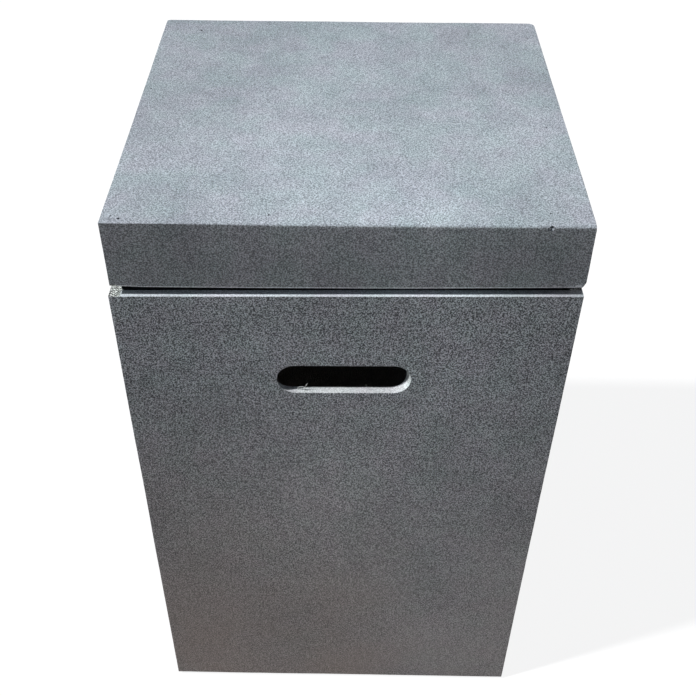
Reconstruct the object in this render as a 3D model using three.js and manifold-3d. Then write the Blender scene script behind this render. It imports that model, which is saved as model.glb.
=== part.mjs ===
// A concrete cover that hides a gas tank and serves as a side table, with a lid that lifts off.
// Millimetres, +Z up. The ground is z = 0, the middle of the cover is x = y = 0, and the front faces -Y.

import * as THREE from "three";
import { mergeVertices } from "three/addons/utils/BufferGeometryUtils.js";
import Module from "manifold-3d";

const wasm = await Module();
wasm.setup();

// Overall size
const width = 400;
const depth = 400;
const height = 660;

// Castings: one wall thickness all round, with rounded corners outside and in
const wall = 10;
const cornerRadius = 3;
const coreRadius = 4;
const arris = 0.8;

// Lid: a slab with a skirt, a little smaller than the body on each side
const lidHeight = 62;
const slabThickness = 14;
const lidTrim = 1.2;
const pocketFillet = 4;
const filletWidthShare = 0.5;
const fingerGap = 8;

// Hand slots, front and rear
const slotWidth = 121.5;
const slotHeight = 31;
const slotBelowRim = 95.5;

// Hose notch at the foot of the rear wall
const notchWidth = 60;
const notchHeight = 50;
const notchRadius = 20;

// Corner brackets of bent steel, screwed to cast pads inside the body
const steel = 3;
const bracketLeg = 45;
const bracketBend = 3;
const bracketBelowRim = 65;
const screwAboveBracketEnd = 22;
const screwFromBend = 28;
const bumperFromBend = 21;
const plateNose = 20;
const padMargin = 5;
const locatingClearance = 1.7;
const insertCover = 4;

// Rubber bumpers that the lid lies on, pushed into the brackets
const bumperRadius = 12;
const bumperHeight = 6;
const bumperRounding = 1.5;
const stemRadius = 3.8;
const barbRadius = 5;
const barbHeight = 4;
const barbTipShare = 0.5;

// Feet, let into the underside of the corners
const footRadius = 19;
const footTaper = 2;
const footProjection = 4;
const footSunk = 6;
const footEdge = 9;
const footCover = 2.5;
const footBoreRadius = 8;
const footBoreDepth = 5.5;
const footInsertLength = 18;
const footInsertCover = 16;

// Screws with their washers and inserts
const bracketScrew = {
  shankRadius: 2.5,
  headRadius: 4.75,
  headHeight: 2.8,
  keyRadius: 1.7,
  keyDepth: 1.6,
  washerRadius: 5.5,
  washerThickness: 1,
  insertRadius: 4.5,
  waist: 0.8,
};
const footScrew = {
  shankRadius: 3,
  headRadius: 5.5,
  headHeight: 2.9,
  keyRadius: 2.3,
  keyDepth: 1.8,
  washerRadius: 7,
  washerThickness: 1.2,
  insertRadius: 5,
  waist: 0.8,
};
const engagementShare = 0.85;
const tipChamferShare = 1 / 3;
const waistShare = 0.3;
const crownShare = 0.55;

// Clearances
const seatGap = 0.3;
const overrun = 8;

// Steps of the round shapes
const cornerSteps = 5;
const slotSteps = 14;
const arrisRounds = 2;
const fineTurn = 28;
const coarseTurn = 14;
const hexagon = 6;

// Heights that follow from the sizes above
const bodyBottom = footProjection;
const lidBottom = height - lidHeight;
const rim = lidBottom - fingerGap;
const slabUnderside = height - slabThickness;
const slotLevel = rim - slotBelowRim;
const bumperTop = slabUnderside - seatGap;
const plateTop = bumperTop - bumperHeight - seatGap;
const bracketBottom = rim - bracketBelowRim;
const screwLevel = bracketBottom + screwAboveBracketEnd;
const footCeiling = bodyBottom + footSunk;
const gussetTop = footCeiling + footInsertLength + footInsertCover;

// Plan sizes that follow. A bracket stands off the wall by the cast pad, so that the smaller lid clears it.
const innerWidth = width - 2 * wall;
const innerDepth = depth - 2 * wall;
const lidWidth = width - 2 * lidTrim;
const lidDepth = depth - 2 * lidTrim;
const bracketFace = 2 * lidTrim + locatingClearance;
const padThickness = bracketFace - seatGap;
const padReach = bracketFace + bracketLeg + padMargin;
const bracketInsertLength = wall + padThickness - insertCover;
const footAxis = footEdge + footRadius - wall;
const footRecessRadius = footRadius + seatGap;
const gussetLeg = 2 * footAxis + Math.SQRT2 * (footRecessRadius + footCover);

const concrete = new THREE.MeshStandardMaterial({ color: 0x969ba1, roughness: 0.92, metalness: 0 });
const blackSteel = new THREE.MeshStandardMaterial({ color: 0x232527, roughness: 0.6, metalness: 0.1 });
const screwSteel = new THREE.MeshStandardMaterial({ color: 0xb9bcc0, roughness: 0.3, metalness: 1 });
const rubber = new THREE.MeshStandardMaterial({ color: 0x1d1e20, roughness: 0.85, metalness: 0 });
const brass = new THREE.MeshStandardMaterial({ color: 0xb59a55, roughness: 0.4, metalness: 1 });

// Outlines

function roundedRectangle(across, deep, radius) {
  const x = across / 2 - radius;
  const y = deep / 2 - radius;
  const shape = new THREE.Shape();
  shape.absarc(x, y, radius, 0, Math.PI / 2);
  shape.absarc(-x, y, radius, Math.PI / 2, Math.PI);
  shape.absarc(-x, -y, radius, Math.PI, 1.5 * Math.PI);
  shape.absarc(x, -y, radius, 1.5 * Math.PI, 2 * Math.PI);
  shape.closePath();
  return shape;
}

function slotOutline() {
  const radius = slotHeight / 2;
  const x = slotWidth / 2 - radius;
  const shape = new THREE.Shape();
  shape.absarc(x, 0, radius, -Math.PI / 2, Math.PI / 2);
  shape.absarc(-x, 0, radius, Math.PI / 2, 1.5 * Math.PI);
  shape.closePath();
  return shape;
}

function notchOutline() {
  const x = notchWidth / 2;
  const radius = Math.min(notchRadius, x, notchHeight);
  const shape = new THREE.Shape();
  shape.moveTo(-x, -overrun);
  shape.lineTo(x, -overrun);
  shape.absarc(x - radius, notchHeight - radius, radius, 0, Math.PI / 2);
  shape.absarc(radius - x, notchHeight - radius, radius, Math.PI / 2, Math.PI);
  shape.closePath();
  return shape;
}

function polygon(points) {
  return new THREE.Shape(points.map(([x, y]) => new THREE.Vector2(x, y)));
}

// Solids

function prism(shape, low, high, steps = cornerSteps) {
  const geometry = new THREE.ExtrudeGeometry(shape, {
    depth: high - low,
    bevelEnabled: false,
    curveSegments: steps,
  });
  return geometry.translate(0, 0, low);
}

// A prism whose two end edges are rounded, all within the outline.
function roundedPrism(shape, low, high, rounding) {
  const geometry = new THREE.ExtrudeGeometry(shape, {
    depth: high - low - 2 * rounding,
    bevelThickness: rounding,
    bevelSize: rounding,
    bevelOffset: -rounding,
    bevelSegments: arrisRounds,
    curveSegments: cornerSteps,
  });
  return geometry.translate(0, 0, low + rounding);
}

function cylinder(radius, low, high, steps = coarseTurn) {
  const geometry = new THREE.CylinderGeometry(radius, radius, high - low, steps);
  return geometry.rotateX(Math.PI / 2).translate(0, 0, (low + high) / 2);
}

// Turns a profile of [radius, height] points, listed anticlockwise, round the Z axis.
function turned(profile, steps) {
  const points = profile.map(([radius, level]) => new THREE.Vector2(radius, level));
  return new THREE.LatheGeometry(points, steps).rotateX(Math.PI / 2);
}

function toSolid(geometry) {
  const bare = geometry.clone();
  bare.deleteAttribute("normal");
  bare.deleteAttribute("uv");
  const merged = mergeVertices(bare);
  return new wasm.Manifold(
    new wasm.Mesh({
      numProp: 3,
      vertProperties: merged.attributes.position.array,
      triVerts: new Uint32Array(merged.index.array),
    }),
  );
}

function combine(base, additions, cuts) {
  let solid = toSolid(base);
  additions.forEach((geometry) => {
    solid = solid.add(toSolid(geometry));
  });
  cuts.forEach((geometry) => {
    solid = solid.subtract(toSolid(geometry));
  });
  const mesh = solid.getMesh();
  const geometry = new THREE.BufferGeometry();
  geometry.setAttribute("position", new THREE.BufferAttribute(mesh.vertProperties, mesh.numProp));
  geometry.setIndex(new THREE.BufferAttribute(mesh.triVerts, 1));
  geometry.computeVertexNormals();
  return geometry;
}

function piece(name, geometry, material) {
  const mesh = new THREE.Mesh(geometry, material);
  mesh.name = name;
  return mesh;
}

// Corners of the body. Each has a frame of its own: the origin is the inner corner on the ground,
// and the walls run along its -X and -Y, so one drawing serves all four.

const corners = [
  { name: "rear_right", side: 1, end: 1, quarterTurns: 0 },
  { name: "rear_left", side: -1, end: 1, quarterTurns: 1 },
  { name: "front_left", side: -1, end: -1, quarterTurns: 2 },
  { name: "front_right", side: 1, end: -1, quarterTurns: 3 },
];

function cornerFrame(corner) {
  const frame = new THREE.Group();
  frame.position.set((corner.side * innerWidth) / 2, (corner.end * innerDepth) / 2, 0);
  frame.rotation.z = (corner.quarterTurns * Math.PI) / 2;
  frame.updateMatrix();
  return frame;
}

// Frames along a screw: the head points along +Z, and the origin is on the face under the washer.
// Two screws hold a bracket, one through each leg, and one screw holds a foot from below.
const screwSeat = bracketFace + steel;
const screwAlong = bracketFace + screwFromBend;
const bracketScrewFrames = [
  { label: "a", position: [-screwAlong, -screwSeat, screwLevel], rotation: [Math.PI / 2, 0, 0] },
  { label: "b", position: [-screwSeat, -screwAlong, screwLevel], rotation: [0, -Math.PI / 2, 0] },
];
const footScrewFrame = { position: [-footAxis, -footAxis, footBoreDepth], rotation: [Math.PI, 0, 0] };
const bracketGrip = steel + seatGap;
const footGrip = footCeiling - footBoreDepth;

function frameOf({ position, rotation }) {
  const frame = new THREE.Group();
  frame.position.set(...position);
  frame.rotation.set(...rotation);
  frame.updateMatrix();
  return frame;
}

// Concrete body: a square tube with a pad for each bracket and a solid gusset over each foot

function padBlank() {
  const bite = wall / 2;
  const outline = polygon([
    [bite, bite],
    [-padReach, bite],
    [-padReach, -padThickness],
    [-padThickness, -padThickness],
    [-padThickness, -padReach],
    [bite, -padReach],
  ]);
  const half = screwAboveBracketEnd + padMargin;
  return prism(outline, screwLevel - half, screwLevel + half);
}

function gussetBlank() {
  const bite = wall / 2;
  const outline = polygon([
    [bite, bite],
    [-gussetLeg - bite, bite],
    [bite, -gussetLeg - bite],
  ]);
  return prism(outline, bodyBottom, gussetTop);
}

function insertHole(screw, grip, length, frame) {
  const radius = screw.insertRadius + seatGap;
  return cylinder(radius, -grip - length - seatGap, overrun - grip).applyMatrix4(frame.matrix);
}

function footRecess() {
  const recess = cylinder(footRecessRadius, bodyBottom - overrun, footCeiling, fineTurn);
  return recess.translate(-footAxis, -footAxis, 0);
}

function footInsertHole() {
  const radius = footScrew.insertRadius + seatGap;
  const hole = cylinder(radius, footCeiling - seatGap, footCeiling + footInsertLength + seatGap);
  return hole.translate(-footAxis, -footAxis, 0);
}

// An opening through the front wall, with its outer edge eased. Half a turn takes it to the rear.
function wallOpening(outline, level, halfTurns) {
  const through = prism(outline, -wall - overrun, overrun, slotSteps);
  const flare = new THREE.ExtrudeGeometry(outline, {
    depth: overrun,
    bevelThickness: arris,
    bevelSize: arris,
    bevelSegments: 1,
    curveSegments: slotSteps,
  });
  return [through, flare].map((geometry) =>
    geometry
      .rotateX(Math.PI / 2)
      .translate(0, -depth / 2, level)
      .rotateZ(halfTurns * Math.PI),
  );
}

function bodyShell() {
  const outline = roundedRectangle(width, depth, cornerRadius);
  const inside = roundedRectangle(innerWidth, innerDepth, coreRadius);
  const tube = combine(
    roundedPrism(outline, bodyBottom, rim, arris),
    [],
    [prism(inside, bodyBottom - overrun, rim + overrun)],
  );
  const additions = [];
  const cuts = [];
  corners.forEach((corner) => {
    const { matrix } = cornerFrame(corner);
    const here = (geometry) => geometry.applyMatrix4(matrix);
    additions.push(here(padBlank()), here(gussetBlank()));
    cuts.push(here(footRecess()), here(footInsertHole()));
    bracketScrewFrames.forEach((place) => {
      cuts.push(here(insertHole(bracketScrew, bracketGrip, bracketInsertLength, frameOf(place))));
    });
  });
  cuts.push(...wallOpening(slotOutline(), slotLevel, 0));
  cuts.push(...wallOpening(slotOutline(), slotLevel, 1));
  cuts.push(...wallOpening(notchOutline(), bodyBottom, 1));
  return piece("body_shell", combine(tube, additions, cuts), concrete);
}

// Concrete lid: a slab with a skirt, hollow below

function lidShell() {
  const outline = roundedRectangle(lidWidth, lidDepth, cornerRadius);
  const hollow = roundedRectangle(lidWidth - 2 * wall, lidDepth - 2 * wall, coreRadius);
  const filletWidth = pocketFillet * filletWidthShare;
  const pocket = new THREE.ExtrudeGeometry(hollow, {
    depth: slabUnderside - lidBottom + overrun - 2 * pocketFillet,
    bevelThickness: pocketFillet,
    bevelSize: filletWidth,
    bevelOffset: -filletWidth,
    bevelSegments: arrisRounds,
    curveSegments: cornerSteps,
  }).translate(0, 0, lidBottom - overrun + pocketFillet);
  return piece("lid_shell", combine(roundedPrism(outline, lidBottom, height, arris), [], [pocket]), concrete);
}

// Bracket: two legs along the walls and a plate on top, with holes for its screws and its bumper.
// It is drawn from its outer faces, which stand off the walls by bracketFace.

function bracket(name) {
  const bend = Math.min(bracketBend, steel);
  const legs = new THREE.Shape();
  legs.absarc(-bend, -bend, bend, 0, Math.PI / 2);
  legs.lineTo(-bracketLeg, 0);
  legs.lineTo(-bracketLeg, -steel);
  legs.lineTo(-steel, -steel);
  legs.lineTo(-steel, -bracketLeg);
  legs.lineTo(0, -bracketLeg);
  legs.closePath();
  const plate = new THREE.Shape();
  plate.absarc(-bend, -bend, bend, 0, Math.PI / 2);
  plate.lineTo(-bracketLeg, 0);
  plate.lineTo(-bracketLeg, -plateNose);
  plate.lineTo(-plateNose, -bracketLeg);
  plate.lineTo(0, -bracketLeg);
  plate.closePath();
  const plateBottom = plateTop - steel;
  const place = (geometry) => geometry.translate(-bracketFace, -bracketFace, 0);
  const stemHole = cylinder(stemRadius + seatGap, plateBottom - overrun, plateTop + overrun);
  const screwHoles = bracketScrewFrames.map((screwPlace) =>
    cylinder(bracketScrew.shankRadius + seatGap, -overrun, overrun).applyMatrix4(frameOf(screwPlace).matrix),
  );
  const geometry = combine(
    place(prism(legs, bracketBottom, plateTop - steel / 2)),
    [place(prism(plate, plateBottom, plateTop))],
    [place(stemHole.translate(-bumperFromBend, -bumperFromBend, 0)), ...screwHoles],
  );
  return piece(name, geometry, blackSteel);
}

// Bumper: a rounded button with a barbed stem

function bumper(name) {
  const buttonBottom = plateTop + seatGap;
  const barbTop = plateTop - steel - seatGap;
  const barbBottom = barbTop - barbHeight;
  const profile = [
    [0, barbBottom],
    [stemRadius * barbTipShare, barbBottom],
    [barbRadius, barbTop],
    [stemRadius, barbTop],
    [stemRadius, buttonBottom],
    [bumperRadius, buttonBottom],
    [bumperRadius, bumperTop - bumperRounding],
    [bumperRadius - bumperRounding, bumperTop],
    [0, bumperTop],
  ];
  const mesh = piece(name, turned(profile, coarseTurn), rubber);
  mesh.position.set(-bracketFace - bumperFromBend, -bracketFace - bumperFromBend, 0);
  return mesh;
}

// Foot: a rubber disc with a deep bore for its screw head

function foot(name) {
  const holeRadius = footScrew.shankRadius + seatGap;
  const top = footCeiling - seatGap;
  const profile = [
    [footBoreRadius, 0],
    [footRadius - footTaper, 0],
    [footRadius, footTaper],
    [footRadius, top],
    [holeRadius, top],
    [holeRadius, footBoreDepth],
    [footBoreRadius, footBoreDepth],
    [footBoreRadius, 0],
  ];
  const mesh = piece(name, turned(profile, fineTurn), rubber);
  mesh.position.set(-footAxis, -footAxis, 0);
  return mesh;
}

// Screw, washer and insert along one axis. grip is how far the insert's mouth lies behind the washer's seat.

function fastening(size, grip, insertLength, names, place) {
  const group = frameOf(place);
  const washerTop = seatGap + size.washerThickness;
  const headBottom = washerTop + seatGap;
  const headTop = headBottom + size.headHeight;
  const tip = -grip - engagementShare * insertLength;
  const boreRadius = size.shankRadius + seatGap;
  const chamfer = size.shankRadius * tipChamferShare;
  const screwBlank = turned(
    [
      [0, tip],
      [size.shankRadius - chamfer, tip],
      [size.shankRadius, tip + chamfer],
      [size.shankRadius, headBottom],
      [size.headRadius, headBottom],
      [size.headRadius, headBottom + size.headHeight * crownShare],
      [size.headRadius * crownShare, headTop],
      [0, headTop],
    ],
    coarseTurn,
  );
  const key = cylinder(size.keyRadius, headTop - size.keyDepth, headTop + overrun, hexagon);
  const washerBlank = turned(
    [
      [boreRadius, seatGap],
      [size.washerRadius, seatGap],
      [size.washerRadius, washerTop],
      [boreRadius, washerTop],
      [boreRadius, seatGap],
    ],
    coarseTurn,
  );
  const mouth = -grip;
  const end = mouth - insertLength;
  const waistRadius = size.insertRadius - size.waist;
  const band = insertLength * waistShare;
  const insertBlank = turned(
    [
      [boreRadius, end],
      [size.insertRadius, end],
      [size.insertRadius, end + band],
      [waistRadius, end + band + size.waist],
      [waistRadius, mouth - band - size.waist],
      [size.insertRadius, mouth - band],
      [size.insertRadius, mouth],
      [boreRadius, mouth],
      [boreRadius, end],
    ],
    coarseTurn,
  );
  group.add(piece(names.screw, combine(screwBlank, [], [key]), screwSteel));
  group.add(piece(names.washer, washerBlank, screwSteel));
  group.add(piece(names.insert, insertBlank, brass));
  return group;
}

// Assembly

const table = new THREE.Group();

const lid = new THREE.Group();
lid.add(lidShell());
lid.position.x = lidTrim;
table.add(lid);

table.add(bodyShell());

corners.forEach((corner) => {
  const frame = cornerFrame(corner);
  frame.add(bracket(`corner_bracket_${corner.name}`));
  frame.add(bumper(`lid_bumper_${corner.name}`));
  frame.add(foot(`foot_${corner.name}`));
  bracketScrewFrames.forEach((place) => {
    const ending = `${corner.name}_${place.label}`;
    const names = {
      screw: `bracket_screw_${ending}`,
      washer: `bracket_washer_${ending}`,
      insert: `bracket_insert_${ending}`,
    };
    frame.add(fastening(bracketScrew, bracketGrip, bracketInsertLength, names, place));
  });
  const footNames = {
    screw: `foot_screw_${corner.name}`,
    washer: `foot_washer_${corner.name}`,
    insert: `foot_insert_${corner.name}`,
  };
  frame.add(fastening(footScrew, footGrip, footInsertLength, footNames, footScrewFrame));
  table.add(frame);
});

export default table;
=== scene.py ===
# %% [markdown]
# # A concrete tank cover that is also a side table
#
# The object is two thin castings in glass-fibre-reinforced concrete (GFRC): a square body, open below, and
# a lid that lies loose on four brackets inside it. This lesson dresses a working model of it for a picture.
# The model gives every piece its real size and place, and each new piece here is built around those same
# numbers.
#
# A piece is made the way one would make it by hand: a primitive is added, shaped in edit mode, and finished
# with modifiers. Everything is in metres. +Z is up, the front faces -Y, and the ground is z = 0.

# %% Load the working model
import math
import random

import bmesh
import bpy
from mathutils import Matrix, Vector


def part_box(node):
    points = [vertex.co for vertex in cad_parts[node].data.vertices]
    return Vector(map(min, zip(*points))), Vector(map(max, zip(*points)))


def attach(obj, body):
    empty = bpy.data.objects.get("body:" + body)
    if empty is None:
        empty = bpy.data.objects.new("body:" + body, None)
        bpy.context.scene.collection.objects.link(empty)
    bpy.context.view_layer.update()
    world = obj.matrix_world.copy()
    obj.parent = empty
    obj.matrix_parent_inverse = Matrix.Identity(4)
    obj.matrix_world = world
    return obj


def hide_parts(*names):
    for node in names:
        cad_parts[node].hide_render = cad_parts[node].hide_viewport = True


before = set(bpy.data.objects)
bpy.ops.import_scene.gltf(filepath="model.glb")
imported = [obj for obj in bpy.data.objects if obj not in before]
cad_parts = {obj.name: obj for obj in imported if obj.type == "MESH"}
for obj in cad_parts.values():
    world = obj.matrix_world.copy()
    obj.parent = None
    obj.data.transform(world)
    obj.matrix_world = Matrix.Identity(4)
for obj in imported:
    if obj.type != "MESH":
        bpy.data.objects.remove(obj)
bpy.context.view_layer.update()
MM = 0.001

# %% [markdown]
# ## Camera and picture
#
# The photograph was taken from a standing person's height, close to the object, so the upright edges run
# together downwards. That is plain perspective with the camera tilted down by 43 degrees. The place, the
# tilt and the focal length below were solved from the silhouettes of the two blocks. The picture's centre
# isn't quite on the optical axis, so the camera has a small shift. A lens in millimetres belongs to a
# sensor 36 mm wide.

# %% Camera
PICTURE = 696
FOCAL_PIXELS = 997.5
AXIS_COLUMN = 340
AXIS_ROW = 390
SENSOR = 36.0
CAMERA_PLACE = Vector((0.5, -866.6, 1100.0)) * MM
TILT_DOWN = 42.769
PAN = 0.341
ROLL = 0.613

camera = bpy.data.objects.new("camera", bpy.data.cameras.new("camera"))
bpy.context.scene.collection.objects.link(camera)
bpy.context.scene.camera = camera
camera.data.sensor_width = SENSOR
camera.data.lens = FOCAL_PIXELS / PICTURE * SENSOR
camera.data.shift_x = (PICTURE / 2 - AXIS_COLUMN) / PICTURE
camera.data.shift_y = (AXIS_ROW - PICTURE / 2) / PICTURE
camera.data.clip_start = 0.05
camera.data.clip_end = 50
turn = (
    Matrix.Rotation(math.radians(PAN), 4, "Z")
    @ Matrix.Rotation(math.radians(90 - TILT_DOWN), 4, "X")
    @ Matrix.Rotation(math.radians(ROLL), 4, "Z")
)
camera.matrix_world = Matrix.Translation(CAMERA_PLACE) @ turn
print(f"lens {camera.data.lens:.2f} mm, shift {camera.data.shift_x:.4f}, {camera.data.shift_y:.4f}")

# %% [markdown]
# ## Hands for modelling
#
# An operator works on whatever is selected, so each of these helpers first clears the selection and then
# makes one piece active. Faces, edges and points are picked by a test on their place or normal, as one
# would pick them by eye. Points closer than a hundredth of a millimetre count as touching.

# %% Selecting
TOUCH = 0.01 * MM


def activate(piece):
    bpy.ops.object.select_all(action="DESELECT")
    piece.select_set(True)
    bpy.context.view_layer.objects.active = piece


def open_piece(piece):
    activate(piece)
    bpy.ops.object.mode_set(mode="EDIT")
    bpy.ops.mesh.select_all(action="DESELECT")


def close_piece():
    bpy.ops.object.mode_set(mode="OBJECT")


def pick(kind, test):
    """In edit mode, selects the VERTs, EDGEs or FACEs that pass the test, and nothing else."""
    bpy.ops.mesh.select_mode(type=kind)
    bpy.ops.mesh.select_all(action="DESELECT")
    data = bpy.context.object.data
    mesh = bmesh.from_edit_mesh(data)
    elements = {"VERT": mesh.verts, "EDGE": mesh.edges, "FACE": mesh.faces}[kind]
    chosen = [element for element in elements if test(element)]
    for element in chosen:
        element.select_set(True)
    mesh.select_flush_mode()
    bmesh.update_edit_mesh(data)


def at_level(level):
    return lambda edge: all(abs(vert.co.z - level) < TOUCH for vert in edge.verts)


def is_upright(edge):
    a, b = edge.verts
    return math.hypot(a.co.x - b.co.x, a.co.y - b.co.y) < TOUCH


# %% Adding


def name_piece(name):
    """Names the new primitive and applies its place and size, so that its object stays at the origin."""
    piece = bpy.context.object
    piece.name = name
    piece.data.name = name
    bpy.ops.object.transform_apply(location=True, rotation=True, scale=True)
    return piece


def add_block(name, low, high):
    bpy.ops.object.select_all(action="DESELECT")
    low = Vector(low)
    high = Vector(high)
    bpy.ops.mesh.primitive_cube_add(size=1, location=(low + high) / 2, scale=high - low)
    return name_piece(name)


def add_round(name, radius, low, high, steps, centre=(0.0, 0.0)):
    bpy.ops.object.select_all(action="DESELECT")
    place = (centre[0], centre[1], (low + high) / 2)
    bpy.ops.mesh.primitive_cylinder_add(vertices=steps, radius=radius, depth=high - low, location=place)
    return name_piece(name)


# %% Shaping


def on_axis(axis, length):
    step = Vector((0, 0, 0))
    step[axis] = length
    return step


def pick_all():
    bpy.ops.mesh.select_all(action="SELECT")


def extrude(move):
    bpy.ops.mesh.extrude_region_move(TRANSFORM_OT_translate={"value": move})


def bevel_edges(test, width, steps):
    pick("EDGE", test)
    bpy.ops.mesh.bevel(offset=width, segments=steps, affect="EDGES")


def pull_and_scale(move, share, centre):
    extrude(move)
    bpy.ops.transform.resize(value=(share, share, 1), center_override=centre)


def apply_modifier(piece, kind, **settings):
    activate(piece)
    modifier = piece.modifiers.new(kind.lower(), kind)
    for name, value in settings.items():
        setattr(modifier, name, value)
    bpy.ops.object.modifier_apply(modifier=modifier.name)


def thicken(piece, thickness):
    """Gives an open surface a wall that grows inwards."""
    apply_modifier(piece, "SOLIDIFY", thickness=thickness, offset=-1, use_even_offset=True)


def break_edges(piece, width, least_turn=30):
    """Rounds every edge where the surface turns by more than so many degrees."""
    limit = math.radians(least_turn)
    apply_modifier(piece, "BEVEL", width=width, segments=2, limit_method="ANGLE", angle_limit=limit)


# %% Joining and finishing
SMOOTH_BELOW = math.radians(32)


def combine(piece, tool, operation):
    apply_modifier(piece, "BOOLEAN", object=tool, operation=operation, solver="MANIFOLD")
    bpy.data.objects.remove(tool)


def join(pieces):
    activate(pieces[0])
    for piece in pieces[1:]:
        piece.select_set(True)
    bpy.ops.object.join()
    return pieces[0]


def finish_piece(piece, material=None):
    activate(piece)
    bpy.ops.object.shade_smooth_by_angle(angle=SMOOTH_BELOW)
    if material:
        piece.data.materials.clear()
        piece.data.materials.append(material)

# %% [markdown]
# ## One corner, four times
#
# The four corners of the body are alike, so a corner's pieces are made once, at the rear right, and copied
# by quarter turns. Each copy gets a mesh of its own, and its place goes into the mesh.

# %% Copies at the corners
CORNERS = {"rear_right": 0, "rear_left": 1, "front_left": 2, "front_right": 3}


def quarter_turns(count):
    return Matrix.Rotation(count * math.pi / 2, 4, "Z")


def copy_piece(piece, name, matrix):
    copy = piece.copy()
    copy.data = piece.data.copy()
    bpy.context.scene.collection.objects.link(copy)
    copy.name = name
    copy.data.name = name
    copy.data.transform(matrix)
    return copy


def at_corners(piece):
    copies = []
    for corner, turns in CORNERS.items():
        copies.append(copy_piece(piece, f"{piece.name}_{corner}", quarter_turns(turns)))
    bpy.data.objects.remove(piece)
    return copies

# %% [markdown]
# ## Nodes by name
#
# A material is a small graph. One helper adds any node, sets its properties, fills each input with a value
# or a link, and gives back the node's outputs. Colours are written as sRGB hex, as a paint chart gives
# them, and turned to the linear values that a renderer works in. Pattern sizes are real ones: a noise
# texture's scale is one over the size of its blobs.

# %% Node helpers


def add_node(tree, kind, inputs, **properties):
    node = tree.nodes.new(f"ShaderNode{kind}")
    for name, value in properties.items():
        setattr(node, name, value)
    for socket, value in inputs.items():
        if isinstance(value, bpy.types.NodeSocket):
            tree.links.new(value, node.inputs[socket])
        else:
            node.inputs[socket].default_value = value
    return node.outputs


def linear(hex_colour):
    channels = [int(hex_colour[place : place + 2], 16) / 255 for place in (1, 3, 5)]
    return [c / 12.92 if c <= 0.04045 else ((c + 0.055) / 1.055) ** 2.4 for c in channels] + [1.0]


def per_metre(blob_mm):
    return 1 / (blob_mm * MM)


def new_material(name):
    material = bpy.data.materials.new(name)
    material.use_nodes = True
    material.node_tree.nodes.clear()
    return material, material.node_tree

# %% [markdown]
# ## Light
#
# The photograph has one strong light, high on the left and a little in front: it lights the top about four
# times as much as the front, and it reaches 3 mm in over the front of the rim, and 9 mm in at its left end.
# A sun lamp does that with parallel light, and a few degrees of angle soften its shadows. A weak second
# lamp from behind keeps the far sides readable, and the world adds an even, slightly blue fill, which is
# what shows in the shaded gap.

# %% Lamps
KEY_DIRECTION = Vector((-0.75, -0.24, 1.0))
KEY_STRENGTH = 4.0
KEY_ANGLE = 3.0
BACK_DIRECTION = Vector((0.8, 0.75, 0.45))
BACK_STRENGTH = 0.9
BACK_ANGLE = 40.0


def add_sun(name, direction, strength, angle):
    lamp = bpy.data.objects.new(name, bpy.data.lights.new(name, "SUN"))
    bpy.context.scene.collection.objects.link(lamp)
    lamp.data.energy = strength
    lamp.data.angle = math.radians(angle)
    lamp.rotation_euler = direction.to_track_quat("Z", "Y").to_euler()


add_sun("key_light", KEY_DIRECTION, KEY_STRENGTH, KEY_ANGLE)
add_sun("back_light", BACK_DIRECTION, BACK_STRENGTH, BACK_ANGLE)
print("lamps:", [lamp.name for lamp in bpy.data.lights])

# %% World
FILL = 0.19


def seen_directly(tree):
    """1 for the camera's rays and those that a mirror or glass passes on, 0 for rays that carry light."""
    path = add_node(tree, "LightPath", {})
    passed_on = {0: path["Is Glossy Ray"], 1: path["Is Transmission Ray"]}
    passed_on = add_node(tree, "Math", passed_on, operation="MAXIMUM")[0]
    return add_node(tree, "Math", {0: path["Is Camera Ray"], 1: passed_on}, operation="MAXIMUM")[0]


world = bpy.data.worlds.new("studio")
bpy.context.scene.world = world
world.use_nodes = True
tree = world.node_tree
tree.nodes.clear()
fill = add_node(tree, "Background", {"Color": linear("#d6e4f7"), "Strength": FILL})[0]
backdrop = add_node(tree, "Background", {"Color": linear("#ffffff"), "Strength": 1.0})[0]
mixed = add_node(tree, "MixShader", {0: seen_directly(tree), 1: fill, 2: backdrop})[0]
add_node(tree, "OutputWorld", {"Surface": mixed})
bpy.context.scene.view_settings.view_transform = "Standard"
print("fill light", FILL)

# %% [markdown]
# ## Floor
#
# The photograph's ground was cut away to white. A white floor would throw far too much light back on to the
# front, so the camera and the object see two different floors. The camera sees one that is almost white by
# itself, with a thin layer that takes the shadow. Other rays see a duller, slightly warm one, which warms
# the foot of the body.

# %% Floor
FLOOR_HALF = 12.0
FLOOR_GLOW = 0.87
paper, tree = new_material("seamless_paper")
glow = add_node(tree, "Emission", {"Color": linear("#ffffff"), "Strength": FLOOR_GLOW})[0]
shadow_layer = add_node(tree, "BsdfDiffuse", {"Color": linear("#686868")})[0]
shown = add_node(tree, "AddShader", {0: glow, 1: shadow_layer})[0]
bounce = add_node(tree, "BsdfDiffuse", {"Color": linear("#68605a")})[0]
mixed = add_node(tree, "MixShader", {0: seen_directly(tree), 1: bounce, 2: shown})[0]
add_node(tree, "OutputMaterial", {"Surface": mixed})

bpy.ops.object.select_all(action="DESELECT")
bpy.ops.mesh.primitive_plane_add(size=2 * FLOOR_HALF)
floor = name_piece("floor")
floor.data.materials.append(paper)
print("floor:", 2 * FLOOR_HALF, "m wide")
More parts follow.
